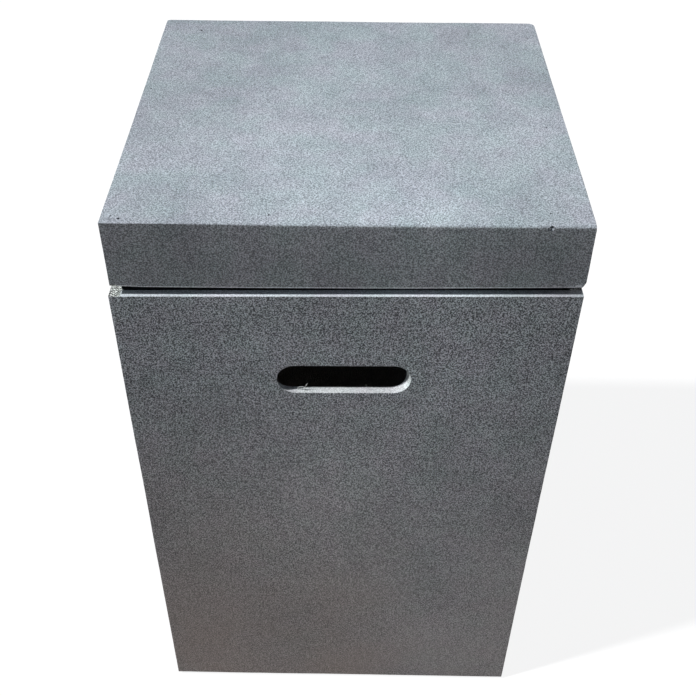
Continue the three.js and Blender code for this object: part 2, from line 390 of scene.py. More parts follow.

# %% [markdown]
# ## Cement paste
#
# The face of such a casting is a fine cement and sand mix, sprayed against a mould and lightly acid-washed.
# The paste gives the matte blue-grey. It dries in clouds of two sizes, and drifts slowly between a greenish
# and a pink grey. Below half a metre it turns a warmer grey towards the ground, more on the left. The top
# of the lid is painted paler than its sides, as painted light: a tint goes on wherever the surface faces
# up.

# %% Paste
CLOUD_MM = 110
PATCH_MM = 30
PATCH_SHARE = 0.4
DRIFT_MM = 34
GREENISH = (0.980, 1.018, 0.990, 1.0)
PINKISH = (1.026, 0.983, 0.998, 1.0)
PLAIN = (1.0, 1.0, 1.0, 1.0)
FOOT_TINT_HEIGHT = 0.50
FOOT_TINT = "#968c87"


def mottled_paste(tree, place, light, dark):
    noises = []
    for blob_mm, detail in ((CLOUD_MM, 3.0), (PATCH_MM, 2.0), (DRIFT_MM, 2.0)):
        noise = {"Vector": place, "Scale": per_metre(blob_mm), "Detail": detail}
        noises.append(add_node(tree, "TexNoise", noise)["Fac"])
    clouds, patches, drift = noises
    both = add_node(tree, "Mix", {0: PATCH_SHARE, 2: clouds, 3: patches})[0]
    spread = add_node(tree, "MapRange", {"Value": both, "From Min": 0.38, "From Max": 0.62})[0]
    grey = add_node(tree, "Mix", {0: spread, 6: linear(dark), 7: linear(light)}, data_type="RGBA")[2]
    hue = add_node(tree, "MapRange", {"Value": drift, "From Min": 0.35, "From Max": 0.65})[0]
    tint = add_node(tree, "Mix", {0: hue, 6: GREENISH, 7: PINKISH}, data_type="RGBA")[2]
    return add_node(tree, "VectorMath", {0: grey, 1: tint}, operation="MULTIPLY")[0], clouds


def foot_tint_factors(tree, axes, clouds):
    """How far the grain fades, from 1 at the ground to 0 higher up, and how far the warmer grey shows."""
    low_down = {"Value": axes["Z"], "From Min": FOOT_TINT_HEIGHT, "From Max": 0}
    low_down = add_node(tree, "MapRange", low_down)[0]
    uneven = {"Value": clouds, "From Min": 0.35, "From Max": 0.65, "To Min": 0.75, "To Max": 1.08}
    uneven = add_node(tree, "MapRange", uneven)[0]
    grain_fade = add_node(tree, "Math", {0: low_down, 1: uneven}, operation="MULTIPLY", use_clamp=True)[0]
    leftward = {"Value": axes["X"], "From Min": -0.02, "From Max": 0.10, "To Min": 1.0, "To Max": 0.6}
    leftward = add_node(tree, "MapRange", leftward)[0]
    return grain_fade, add_node(tree, "Math", {0: grain_fade, 1: leftward}, operation="MULTIPLY")[0]

# %% [markdown]
# ## Sand and soft spots
#
# Sand gives a fine grain of light and dark points. They are spots of noise, drawn 1.2 mm wide so that the
# picture can show them, and the noise is turned, so that no flat face cuts its lattice squarely and shows
# rows. The grain is squared, because the picture shows roughly the root of the light, and so its light and
# dark points look alike. The sides show it more than the top: partly the sand's own colour, and partly
# painted light and shade of the relief, which the light rakes on the sides. It fades towards the ground.
# The relief is finer: each cell of a Voronoi texture is a grain of 0.75 mm, as real sand is. Here and
# there a pale quartz grain carries a painted glint and a pore carries painted shade. Where a face turns
# from the top to a side it is painted paler, partly as wear and partly as a painted highlight.
#
# Soft spots darken or lighten broad areas. Some are painted light and shade: the rear, left and right of
# the top are darker and its front paler, the band along the seam under the lid is darker, and the foot of
# the front is paler. Besides, the two edges of the front are darker than its middle, and a few small
# patches are darker. Each is a ball round a point, with its radius and how much lighter or darker it
# makes the surface. The rim has two of its own, both painted shade: its right end is darker, and so is the
# right end of its lit front strip.

# %% Sand
SAND_MM = 0.75
GRAIN_MM = 1.2
GRAIN_DARK = 0.365
GRAIN_LIGHT = 0.635
ASKEW = (0.5, 0.6, 0.7)
FOOT_SHARE = 0.36
SPECK_MM = 14
SPECK_SHARE = 0.045
# Dark specks are painted shade in pores; pale ones are quartz grains with a painted glint.
PORE_SHADE = -0.5
QUARTZ_GLINT = 0.8
# Edges are painted paler: partly wear, partly a painted highlight.
EDGE_WEAR_AND_HIGHLIGHT = 0.9


def sand_grain(tree, place, level, grain_fade, side_share, top_share):
    """Returns the grain's shade, about 1, and the height of its relief."""
    sand = add_node(tree, "TexVoronoi", {"Vector": place, "Scale": per_metre(SAND_MM)})
    turned = add_node(tree, "Mapping", {"Vector": place, "Rotation": ASKEW})[0]
    grey = {"Vector": turned, "Scale": per_metre(GRAIN_MM), "Detail": 1.0}
    grey = add_node(tree, "TexNoise", grey)["Fac"]
    centred = {"Value": grey, "From Min": GRAIN_DARK, "From Max": GRAIN_LIGHT, "To Min": -1.0}
    centred = add_node(tree, "MapRange", centred)[0]
    # The sides' stronger grain is partly painted light and shade of the relief.
    share = add_node(tree, "Mix", {0: level, 2: side_share, 3: top_share})[0]
    share = add_node(tree, "Mix", {0: grain_fade, 2: share, 3: side_share * FOOT_SHARE})[0]
    grain = add_node(tree, "Math", {0: centred, 1: share, 2: 1.0}, operation="MULTIPLY_ADD")[0]
    grain = add_node(tree, "Math", {0: grain, 1: 2.0}, operation="POWER")[0]

    # Specks: painted shade in pores and painted glints on pale quartz grains.
    specks = add_node(tree, "TexVoronoi", {"Vector": place, "Scale": per_metre(SPECK_MM)})
    inside = {"Value": specks["Distance"], "From Min": SPECK_SHARE, "From Max": SPECK_SHARE / 2}
    inside = add_node(tree, "MapRange", inside)[0]
    kind = add_node(tree, "SeparateColor", {0: specks["Color"]})[1]
    strength = {"Value": kind, "To Min": PORE_SHADE, "To Max": QUARTZ_GLINT}
    strength = add_node(tree, "MapRange", strength)[0]
    speck = add_node(tree, "Math", {0: inside, 1: strength}, operation="MULTIPLY")[0]
    grain = add_node(tree, "Math", {0: grain, 1: speck}, operation="ADD")[0]

    # Faces between top and side are painted paler, as wear and as a painted highlight.
    sideways = add_node(tree, "Math", {0: 1.0, 1: level}, operation="SUBTRACT")[0]
    edge = add_node(tree, "Math", {0: level, 1: sideways}, operation="MULTIPLY")[0]
    grain = add_node(tree, "Math", {0: edge, 1: EDGE_WEAR_AND_HIGHLIGHT, 2: grain}, operation="MULTIPLY_ADD")[0]
    return grain, sand["Distance"]

# %% Soft spots
# The broad spots on the top, those along the seam at 590 to 615 mm and the paler one at the front's foot
# are painted light and shade.
SOFT_SPOTS = [
    ((-150, 170, 660), 190, -0.13), ((150, 190, 660), 170, -0.13), ((-200, 0, 660), 140, -0.14),
    ((195, 60, 660), 90, -0.08), ((-30, -130, 660), 140, 0.12), ((120, 160, 660), 34, -0.06),
    ((128, 36, 660), 24, -0.08), ((65, -185, 660), 110, 0.19), ((-200, -200, 645), 80, -0.06),
    ((200, -190, 645), 80, -0.06), ((60, -200, 610), 50, -0.05), ((-60, -200, 615), 50, -0.05),
    ((-150, -200, 590), 110, -0.13), ((0, -200, 590), 90, -0.12), ((150, -200, 590), 110, -0.14),
    ((-205, -200, 420), 190, -0.20), ((-205, -200, 250), 190, -0.18), ((-205, -200, 90), 120, -0.06),
    ((205, -200, 500), 130, -0.14), ((205, -200, 330), 150, -0.14), ((0, -200, 330), 150, 0.09),
    ((130, -200, 60), 130, 0.12), ((-115, -200, 455), 32, -0.10), ((-60, -200, 120), 120, -0.10),
]
# The rim's own two spots are painted shade: they darken its right end and the end of its lit strip.
RIM_SPOTS = SOFT_SPOTS + [((196, -178, 590), 28, -0.95), ((185, -200, 590), 90, -0.26)]
print(len(RIM_SPOTS), "soft spots")


def soft_shade(tree, place, spots):
    shade = 1.0
    for centre, radius, change in spots:
        away = {0: place, 1: Vector(centre) * MM}
        away = add_node(tree, "VectorMath", away, operation="DISTANCE")["Value"]
        spot = {"Value": away, "From Min": 0, "From Max": radius * MM, "To Min": 1 + change, "To Max": 1}
        spot = add_node(tree, "MapRange", spot, interpolation_type="SMOOTHSTEP")[0]
        shade = add_node(tree, "Math", {0: shade, 1: spot}, operation="MULTIPLY")[0]
    return shade

# %% [markdown]
# ## Six surfaces of one concrete
#
# The lid's sides are painted darker than the body's, as painted shade. Where the cement skin was trimmed,
# in the openings, the mix is much paler. Along the front of the rim, and of the lid's lower edge, it is
# paler and bluer still, as painted light in and along the shaded gap between them. The rest of the rim was
# only broken off the mould, and is rough and pitted. The inside was rolled by hand over the glass fibres,
# and shows them: they are streaks of noise, drawn out long and turned askew.

# %% Recipe for concrete
FIBRE_STRETCH = (1.0, 0.08, 0.5)
FIBRE_MM = 1.6
FIBRE_PALER = 0.25
FIBRE_PROUD = 0.8


def make_concrete(name, light, dark, top_light_tint, side_share, top_share, relief_mm, spots=SOFT_SPOTS,
                  fibres=False):
    """The shares say how strong the grain is on the sides and on faces that look up."""
    material, tree = new_material(name)
    coordinates = add_node(tree, "TexCoord", {})
    place = coordinates["Object"]
    axes = add_node(tree, "SeparateXYZ", {0: place})
    upward = add_node(tree, "SeparateXYZ", {0: coordinates["Normal"]})["Z"]
    level = add_node(tree, "MapRange", {"Value": upward, "From Min": 0.3, "From Max": 0.7})[0]

    paste, clouds = mottled_paste(tree, place, light, dark)
    grain_fade, foot_tinted = foot_tint_factors(tree, axes, clouds)
    paste = add_node(tree, "Mix", {0: foot_tinted, 6: paste, 7: linear(FOOT_TINT)}, data_type="RGBA")[2]
    # Faces that look up get the top tint, which is painted light.
    tint = add_node(tree, "Mix", {0: level, 6: PLAIN, 7: top_light_tint}, data_type="RGBA")[2]
    paste = add_node(tree, "VectorMath", {0: paste, 1: tint}, operation="MULTIPLY")[0]

    shade, relief = sand_grain(tree, place, level, grain_fade, side_share, top_share)
    soft = soft_shade(tree, place, spots)
    shade = add_node(tree, "Math", {0: shade, 1: soft}, operation="MULTIPLY")[0]
    if fibres:
        drawn_out = {"Vector": place, "Scale": FIBRE_STRETCH, "Rotation": ASKEW}
        drawn_out = add_node(tree, "Mapping", drawn_out)[0]
        streaks = {"Vector": drawn_out, "Scale": per_metre(FIBRE_MM), "Detail": 1.0}
        streaks = add_node(tree, "TexNoise", streaks)["Fac"]
        fibre = add_node(tree, "MapRange", {"Value": streaks, "From Min": 0.56, "From Max": 0.66})[0]
        paler = {0: fibre, 1: FIBRE_PALER, 2: shade}
        shade = add_node(tree, "Math", paler, operation="MULTIPLY_ADD")[0]
        proud = {0: fibre, 1: -FIBRE_PROUD, 2: relief}
        relief = add_node(tree, "Math", proud, operation="MULTIPLY_ADD")[0]

    colour = add_node(tree, "VectorMath", {0: paste, "Scale": shade}, operation="SCALE")[0]
    bump = add_node(tree, "Bump", {"Height": relief, "Distance": relief_mm * MM}, invert=True)[0]
    surface = {"Base Color": colour, "Normal": bump, "Roughness": 0.92, "Specular IOR Level": 0.3}
    add_node(tree, "OutputMaterial", {"Surface": add_node(tree, "BsdfPrincipled", surface)[0]})
    return material

# %% Six concretes
# The lid's top tint is painted light: the top is painted paler where it faces up.
PAINTED_TOP_LIGHT = (1.505, 1.53, 1.575, 1.0)
# The lid's sides are painted darker than the body's, as painted shade.
lid_face = make_concrete("gfrc_lid_face", "#82878b", "#757b7f", PAINTED_TOP_LIGHT, 0.30, 0.235, 0.3)
body_face = make_concrete("gfrc_body_face", "#90959a", "#83888c", PLAIN, 0.50, 0.37, 0.35)
trimmed = make_concrete("gfrc_trimmed_edge", "#cbcfd1", "#babec1", PLAIN, 0.15, 0.13, 0.3)
# The rim's front is pale cut concrete, painted paler and bluer still as painted light in the shaded gap.
pale_and_painted_light = make_concrete("gfrc_trowelled_rim", "#d4dae0", "#c2c9cf", PLAIN, 0.15, 0.13, 0.3, RIM_SPOTS)
broken = make_concrete("gfrc_broken_edge", "#b9bdba", "#a1a6a3", PLAIN, 0.46, 0.78, 0.9, RIM_SPOTS)
backing = make_concrete("gfrc_rolled_backing", "#868a8d", "#717578", PLAIN, 0.25, 0.25, 1.2,
                        fibres=True)
print("concretes:", [material.name for material in bpy.data.materials if "gfrc" in material.name])

# %% [markdown]
# ## Metals, rubber, brass and glass
#
# The brackets are bent sheet under a black powder coat, which is a plastic skin with a fine orange-peel
# texture and a low sheen. Zinc-plated screws are a soft grey metal, slightly cloudy. Moulded rubber is
# almost black, matte and a little dusty. Turned brass dulls in air. The few glass strands that stand out of
# the hand slot are so fine that they look white. All are one recipe: a mottle between two shades, which
# also varies the gloss and the relief.

# %% Recipe for a finish
GLOSS_SPREAD = 0.05


def make_finish(name, light, dark, mottle_mm, relief_mm, metallic, roughness):
    material, tree = new_material(name)
    place = add_node(tree, "TexCoord", {})["Object"]
    mottle = {"Vector": place, "Scale": per_metre(mottle_mm), "Detail": 3.0}
    mottle = add_node(tree, "TexNoise", mottle)["Fac"]
    spread = add_node(tree, "MapRange", {"Value": mottle, "From Min": 0.35, "From Max": 0.65})[0]
    colour = add_node(tree, "Mix", {0: spread, 6: linear(dark), 7: linear(light)}, data_type="RGBA")[2]
    gloss = {"Value": spread, "To Min": roughness - GLOSS_SPREAD, "To Max": roughness + GLOSS_SPREAD}
    gloss = add_node(tree, "MapRange", gloss)[0]
    bump = add_node(tree, "Bump", {"Height": mottle, "Distance": relief_mm * MM})[0]
    surface = {"Base Color": colour, "Roughness": gloss, "Metallic": metallic, "Normal": bump}
    add_node(tree, "OutputMaterial", {"Surface": add_node(tree, "BsdfPrincipled", surface)[0]})
    return material

# %% Five finishes
powder_coat = make_finish("powder_coated_steel", "#2d2f31", "#212325", 0.9, 0.05, 0.0, 0.48)
zinc_plate = make_finish("zinc_plated_steel", "#c3c6c9", "#a9adb1", 2.5, 0.02, 1.0, 0.34)
moulded_rubber = make_finish("moulded_rubber", "#2c2d2e", "#1b1c1d", 3.0, 0.08, 0.0, 0.80)
turned_brass = make_finish("turned_brass", "#b89b58", "#96793c", 1.5, 0.03, 1.0, 0.38)
glass_strand = make_finish("glass_strand", "#e6e8e6", "#c9cccb", 0.6, 0.01, 0.0, 0.40)
print(len(bpy.data.materials), "materials in all")

# %% [markdown]
# ## Sizes read from the model
#
# The working model already says where each piece is. Only what its boxes can't say is repeated here: the
# wall and the slab, the radii of the castings' corners and edges, the hand slot and hose notch, and the
# room round an insert or foot. The last value is how far a cutting tool runs past what it cuts.

# %% Shared sizes
WALL = 10 * MM
CORNER_RADIUS = 3 * MM
CORE_RADIUS = 4 * MM
ARRIS = 0.8 * MM
RIM_ARRIS = 0.35 * MM
CORE_ARRIS = 0.6 * MM
SLAB = 14 * MM
POCKET_FILLET = 4 * MM
SLOT_WIDTH = 121.5 * MM
SLOT_HEIGHT = 31 * MM
SLOT_LEVEL = 494.5 * MM
NOTCH_WIDTH = 60 * MM
NOTCH_HEIGHT = 50 * MM
NOTCH_RADIUS = 20 * MM
SEAT_GAP = 0.3 * MM
OVERRUN = 6 * MM

body_low, body_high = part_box("body_shell")
lid_low, lid_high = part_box("lid_shell")
rim = body_high.z
lid_bottom = lid_low.z
half = body_high.x
core = half - WALL
print(f"rim {rim / MM:.1f}, lid bottom {lid_bottom / MM:.1f}, half width {half / MM:.1f} mm")

# %% [markdown]
# ## Edges and uneven faces
#
# Both castings need the same edge work. An upright edge is found by its direction, and an arris (the edge
# between a flat rim and a wall) by its two faces: one level, the other upright, and facing out of the block
# or into its hollow.
#
# Then the flat faces are cut into a grid, so that they can wander by a few tenths of a millimetre, as a
# hand-made mould does. The surface only ever sinks, so the casting stays within its size. The photographed
# rim and the lid's lower edge aren't level either: both climb to the right, and the lid's edge sags a
# little in the middle.

# %% Arris and grid


def arris_test(up, outward):
    def test(edge):
        if len(edge.link_faces) != 2:
            return False
        level, wall = sorted(edge.link_faces, key=lambda face: -abs(face.normal.z))
        if level.normal.z * up < 0.9 or abs(wall.normal.z) > 0.1:
            return False
        centre = wall.calc_center_median()
        return (wall.normal.x * centre.x + wall.normal.y * centre.y) * outward > 0

    return test


def cut_grid(piece, axis, low, high, step):
    count = round((high - low) / step)
    open_piece(piece)
    for index in range(count + 1):
        place = on_axis(axis, low + (high - low) * index / count)
        pick_all()
        bpy.ops.mesh.bisect(plane_co=place, plane_no=on_axis(axis, 1))
    close_piece()


# %% Uneven faces and edges
EDGE_REACH = 2 * MM
CURL_START = 0.85


def wave_surface(piece, blob_mm, depth_mm, group=""):
    texture = bpy.data.textures.new(f"{piece.name}_{blob_mm}", "CLOUDS")
    texture.noise_scale = blob_mm * MM
    texture.noise_depth = 1
    apply_modifier(piece, "DISPLACE", texture=texture, texture_coords="LOCAL", strength=depth_mm * MM,
                   mid_level=1.0, vertex_group=group)


def make_uneven(piece, inner_depth_mm, is_inner):
    """Sinks the faces in broad and fine waves, and the hand-rolled inner ones in waves of their own."""
    wave_surface(piece, blob_mm=120, depth_mm=0.6)
    wave_surface(piece, blob_mm=14, depth_mm=0.22)
    inner = piece.vertex_groups.new(name="inner")
    inner.add([vert.index for vert in piece.data.vertices if is_inner(vert.co)], 1.0, "REPLACE")
    wave_surface(piece, blob_mm=28, depth_mm=inner_depth_mm, group=inner.name)


def settle_edge(piece, level, lift, sag=0.0, curl=0.0):
    """Lowers an edge at the left, where its end curls up, raises it at the right, and lets it sag."""
    for vert in piece.data.vertices:
        if abs(vert.co.z - level) < EDGE_REACH:
            share = vert.co.x / half
            end = max(0, -share - CURL_START) / (1 - CURL_START)
            vert.co.z += share * lift - (1 - share**2) * sag + end * curl

# %% [markdown]
# ## Body: a square tube with one wall thickness
#
# The real body is a mould face of cement mix with a wall 10 mm thick behind it. It could be drawn as an
# outline and extruded, but a cube that loses two faces and gets its wall from Solidify shows the idea
# better: the outside is what was designed, and the inside follows it. Edges are rounded next. The two front
# corners are nearly sharp in the photograph.

# %% Tests for the body
GRID = 6 * MM
SHARP_CORNER = 1.0 * MM
RIM_LIFT = 3.4 * MM
PLAIN_ROWS = 5
HOLLOW_REACH = 0.9 * MM


def is_outer_corner(edge, front):
    point = edge.verts[0].co
    return is_upright(edge) and min(abs(point.x), abs(point.y)) > core + MM and (point.y < 0) == front


def is_core_corner(edge):
    return is_upright(edge) and max(abs(abs(side) - core) for side in edge.verts[0].co.xy) < TOUCH


def in_hollow(point):
    inside = max(abs(point.x), abs(point.y)) < core + HOLLOW_REACH
    return inside and point.z < rim - PLAIN_ROWS * GRID

# %% Tube with its wall
body = add_block("body_casting", body_low, body_high)
open_piece(body)
pick("FACE", lambda face: abs(face.normal.z) > 0.9)
bpy.ops.mesh.delete(type="FACE")
close_piece()
thicken(body, WALL)

open_piece(body)
bevel_edges(lambda edge: is_outer_corner(edge, True), SHARP_CORNER, steps=3)
bevel_edges(lambda edge: is_outer_corner(edge, False), CORNER_RADIUS, steps=4)
bevel_edges(is_core_corner, CORE_RADIUS, steps=4)
for up, width in ((1, RIM_ARRIS), (-1, ARRIS)):
    bevel_edges(arris_test(up, 1), width, steps=2)
    bevel_edges(arris_test(up, -1), CORE_ARRIS, steps=2)
close_piece()

reach = half - CORNER_RADIUS - MM
cut_grid(body, 0, -reach, reach, GRID)
cut_grid(body, 1, -reach, reach, GRID)
cut_grid(body, 2, body_low.z + EDGE_REACH, rim - RIM_LIFT - EDGE_REACH, GRID)
make_uneven(body, inner_depth_mm=1.4, is_inner=in_hollow)
settle_edge(body, rim, RIM_LIFT)
print("body tube", len(body.data.polygons), "faces")

# %% [markdown]
# ## Pads and gussets inside the body
#
# A screw needs more depth than a 10 mm wall gives, so a pad is cast in each upper corner for the bracket,
# and a triangular gusset in each lower corner for the foot. The pad is a post with two faces pulled out
# along the walls, and the gusset is a block that one slanting cut halves. They are turned to the other
# corners and then joined to the tube by a boolean union.

# %% Pads
bracket_low, bracket_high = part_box("corner_bracket_rear_right")
insert_low, insert_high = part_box("bracket_insert_rear_right_a")
PAD_MARGIN = 5 * MM
PAD_ROUNDING = 1.5 * MM
screw_level = (insert_low.z + insert_high.z) / 2
pad_face = bracket_high.x + SEAT_GAP
pad_end = bracket_low.x - PAD_MARGIN
pad_half = screw_level - bracket_low.z + PAD_MARGIN
bite = half - WALL / 2

pad_low = (pad_face, pad_face, screw_level - pad_half)
pad = add_block("pad", pad_low, (bite, bite, screw_level + pad_half))
open_piece(pad)
for axis in (0, 1):
    pick("FACE", lambda face: face.normal[axis] < -0.9
         and face.calc_center_median()[1 - axis] > pad_face)
    extrude(on_axis(axis, pad_end - pad_face))
close_piece()
break_edges(pad, PAD_ROUNDING)
print("pad", len(pad.data.polygons), "faces")

# %% Gussets
foot_low, foot_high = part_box("foot_rear_right")
foot_insert_low, foot_insert_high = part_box("foot_insert_rear_right")
FOOT_COVER = 2.5 * MM
GUSSET_COVER = 16 * MM
GUSSET_ROUNDING = 2 * MM
foot_axis = (foot_low.x + foot_high.x) / 2
foot_radius = (foot_high.x - foot_low.x) / 2
gusset_top = foot_insert_high.z + GUSSET_COVER
diagonal = foot_axis - (foot_radius + SEAT_GAP + FOOT_COVER) / math.sqrt(2)
corner_start = 2 * diagonal - bite
gusset = add_block("gusset", (corner_start, corner_start, body_low.z + MM), (bite, bite, gusset_top))
open_piece(gusset)
pick_all()
bpy.ops.mesh.bisect(
    plane_co=(diagonal, diagonal, 0), plane_no=(1, 1, 0), use_fill=True, clear_inner=True
)
close_piece()
break_edges(gusset, GUSSET_ROUNDING)
combine(body, join(at_corners(pad) + at_corners(gusset)), "UNION")
print("with pads and gussets", len(body.data.polygons), "faces")

# %% [markdown]
# ## Openings of the body
#
# The hand slots and the hose notch are plugs that were set in the mould. One function makes such a plug
# from a block: its four long edges are rounded, and its outer end flares in a quarter round, which eases
# the edge of the opening. The photographed plug stood askew, turned a little to the left, so the right end
# of the slot shows a lit crescent of wall, and the left end none. It also stood a little taller and tilted,
# and left its sides uneven.

# %% Making a plug
EASE_STEPS = 3
plug_end = -core + OVERRUN


def make_plug(name, half_width, half_height, level, radius, steps, skew):
    outer = -half + ARRIS
    plug_low = (-half_width, outer, level - half_height)
    plug = add_block(name, plug_low, (half_width, plug_end, level + half_height))
    open_piece(plug)
    bevel_edges(lambda edge: abs(edge.verts[0].co.y - edge.verts[1].co.y) > MM, radius, steps)
    pick_all()
    bpy.ops.mesh.remove_doubles(threshold=TOUCH)
    pick("VERT", lambda vert: vert.co.y > outer + MM)
    bpy.ops.transform.translate(value=(-skew, 0, 0))
    pick("FACE", lambda face: face.normal.y < -0.9)
    last = 0.0
    last_flare = 0.0
    for step in range(1, EASE_STEPS + 1):
        angle = step / EASE_STEPS * math.pi / 2
        extrude((0, -ARRIS * (math.sin(angle) - math.sin(last)), 0))
        flare = ARRIS * (1 - math.cos(angle))
        wider = (half_width + flare) / (half_width + last_flare)
        taller = (half_height + flare) / (half_height + last_flare)
        bpy.ops.transform.resize(value=(wider, 1, taller), center_override=(0, -half, level))
        last = angle
        last_flare = flare
    extrude((0, -OVERRUN, 0))
    close_piece()
    return plug

# %% Slot and notch plugs
PLUG_END = 14 * MM
PLUG_GRID = 4 * MM
SLOT_SKEW = 4.2 * MM
SLOT_EXTRA = 2.2 * MM
SLOT_TILT = math.radians(0.8)
slot_half = (SLOT_HEIGHT + SLOT_EXTRA) / 2
slot_middle = SLOT_LEVEL + SLOT_EXTRA / 2
slot_plug = make_plug("slot_plug", SLOT_WIDTH / 2, slot_half, slot_middle, slot_half - TOUCH, steps=10,
                      skew=SLOT_SKEW * (1 + OVERRUN / WALL))
cut_grid(slot_plug, 0, -SLOT_WIDTH / 2 + PLUG_END, SLOT_WIDTH / 2 - PLUG_END, PLUG_GRID)
wave_surface(slot_plug, blob_mm=9, depth_mm=0.5)
to_middle = Matrix.Translation((0, 0, slot_middle))
slot_plug.data.transform(to_middle @ Matrix.Rotation(-SLOT_TILT, 4, "Y") @ to_middle.inverted())
notch_plug = make_plug("notch_plug", NOTCH_WIDTH / 2, NOTCH_HEIGHT, body_low.z, NOTCH_RADIUS, steps=8,
                       skew=0)
cutters = [
    slot_plug,
    copy_piece(slot_plug, "rear_slot_plug", quarter_turns(2)),
    copy_piece(notch_plug, "rear_notch_plug", quarter_turns(2)),
]
bpy.data.objects.remove(notch_plug)
print("plugs:", [cutter.name for cutter in cutters])

# %% [markdown]
# ## Recesses and insert holes
#
# A foot sinks into a round recess, which is a cylinder whose top face is inset and pulled up into the hole
# for the foot's insert. Each pad has two holes, one for each leg of its bracket. The second is the first,
# turned half round on the corner's diagonal, which swaps x and y.

# %% Recesses and holes
foot_insert_radius = (foot_insert_high.x - foot_insert_low.x) / 2
insert_radius = (insert_high.x - insert_low.x) / 2
screw_along = (insert_low.x + insert_high.x) / 2

foot_centre = (foot_axis, foot_axis)
recess = add_round("recess", foot_radius + SEAT_GAP, body_low.z - OVERRUN, foot_high.z + SEAT_GAP,
                   steps=48, centre=foot_centre)
open_piece(recess)
pick("FACE", lambda face: face.normal.z > 0.9)
bpy.ops.mesh.inset(thickness=foot_radius - foot_insert_radius)
extrude((0, 0, foot_insert_high.z - foot_high.z))
close_piece()

SWAP = Matrix.Rotation(math.pi, 4, Vector((1, 1, 0)))
LYING = Matrix.Rotation(-math.pi / 2, 4, "X")
OVER_DIAGONAL = Matrix.Translation((0, 0, 2 * screw_level)) @ SWAP
ON_SCREW_LINE = Matrix.Translation((screw_along, 0, screw_level)) @ LYING
hole_end = insert_high.y + SEAT_GAP
hole = add_round("hole", insert_radius + SEAT_GAP, pad_face - OVERRUN, hole_end, steps=24)
hole.data.transform(ON_SCREW_LINE)
other_hole = copy_piece(hole, "other_hole", OVER_DIAGONAL)
cutters += at_corners(other_hole) + at_corners(hole) + at_corners(recess)
combine(body, join(cutters), "DIFFERENCE")
print("with its openings", len(body.data.polygons), "faces")

# %% [markdown]
# ## Lid: a slab with a skirt
#
# The lid is the same kind of casting, upside down in its mould: a slab 14 mm thick with a skirt 10 mm
# thick. A block gets a pocket from below by an inset and an extrude. The pocket's ceiling has a generous
# fillet, which lets the core come out. Its outer corners are sharp in front and worn round behind, most at
# the right.

# %% Tests for the lid
LID_ARRIS = 1.1 * MM
LID_EDGE_LIFT = 2.9 * MM
LID_EDGE_SAG = 1.3 * MM
LID_EDGE_CURL = 1.1 * MM
REAR_LEFT_RADIUS = 4 * MM
REAR_RIGHT_RADIUS = 7 * MM
pocket_x = lid_high.x - WALL
pocket_y = lid_high.y - WALL


def lid_corner_test(right, rear):
    def test(edge):
        point = edge.verts[0].co
        outside = point.x > pocket_x + MM or point.x < lid_low.x + WALL - MM
        outer = abs(point.y) > pocket_y + MM and outside
        return is_upright(edge) and outer and (point.x > 0) == right and (point.y > 0) == rear

    return test


def is_pocket_corner(edge):
    return is_upright(edge) and abs(abs(edge.verts[0].co.y) - pocket_y) < TOUCH

# %% Lid with its pocket
lid = add_block("lid_casting", lid_low, lid_high)
open_piece(lid)
pick("FACE", lambda face: face.normal.z < -0.9)
bpy.ops.mesh.inset(thickness=WALL)
extrude((0, 0, lid_high.z - SLAB - lid_bottom))
for right, rear, radius in (
    (False, False, SHARP_CORNER),
    (True, False, SHARP_CORNER),
    (False, True, REAR_LEFT_RADIUS),
    (True, True, REAR_RIGHT_RADIUS),
):
    bevel_edges(lid_corner_test(right, rear), radius, steps=5)
for test, width, steps in (
    (is_pocket_corner, CORE_RADIUS, 4),
    (at_level(lid_high.z - SLAB), POCKET_FILLET, 4),
    (arris_test(1, 1), LID_ARRIS, 4),
    (arris_test(-1, 1), ARRIS, 2),
    (arris_test(-1, -1), CORE_ARRIS, 2),
):
    bevel_edges(test, width, steps)
close_piece()

# %% Grid of the lid
LID_GRID = 4 * MM
LID_WORN_STRIP = 0.9 * MM
ROW_MARGIN = 1.5 * MM
reach = lid_high.y - REAR_RIGHT_RADIUS - MM
cut_grid(lid, 0, -reach, reach, LID_GRID)
cut_grid(lid, 1, -reach, reach, LID_GRID)
strip_top = lid_bottom + ARRIS + LID_WORN_STRIP
first_row = strip_top + LID_EDGE_LIFT + LID_EDGE_CURL + ROW_MARGIN
cut_grid(lid, 2, strip_top, first_row, first_row - strip_top)
cut_grid(lid, 2, first_row + LID_GRID, lid_high.z - LID_GRID, LID_GRID)
print("lid", len(lid.data.polygons), "faces")

# %% [markdown]
# ## The lid as it came out
#
# The lid isn't quite a box. Its top front edge is worn: nearly sharp at the left, and rounded by 3 mm from
# the middle to the right. The front leans back a little at the right, and the top falls by a millimetre to
# the left. These are proportional moves of the points, which a modeller would make with a soft selection.
# Then come the same gentle waves as on the body.

# %% Wear and lean of the lid
WORN_GROWTH = 1.6
WEAR_START = -140 * MM
WEAR_FULL = -40 * MM
LEAN_BACK = 2.8 * MM
LEFT_FALL = 1.1 * MM
near_arris = LID_ARRIS + 0.1 * MM
for vert in lid.data.vertices:
    back = vert.co.y - lid_low.y
    down = lid_high.z - vert.co.z
    if back < near_arris and down < near_arris:
        worn = min(1, max(0, (vert.co.x - WEAR_START) / (WEAR_FULL - WEAR_START)))
        vert.co.y += back * worn * WORN_GROWTH
        vert.co.z -= down * worn * WORN_GROWTH
    upper = (vert.co.z - lid_bottom) / (lid_high.z - lid_bottom)
    forward = (lid_high.y - vert.co.y) / (lid_high.y - lid_low.y)
    rightward = (vert.co.x - lid_low.x) / (lid_high.x - lid_low.x)
    vert.co.y += LEAN_BACK * upper * forward * rightward
    vert.co.z -= LEFT_FALL * upper * (1 - rightward)
print("mm that the lid leans back and falls:", round(LEAN_BACK / MM, 1), round(LEFT_FALL / MM, 1))

# %% Uneven lid
SKIRT_EDGE = 6 * MM


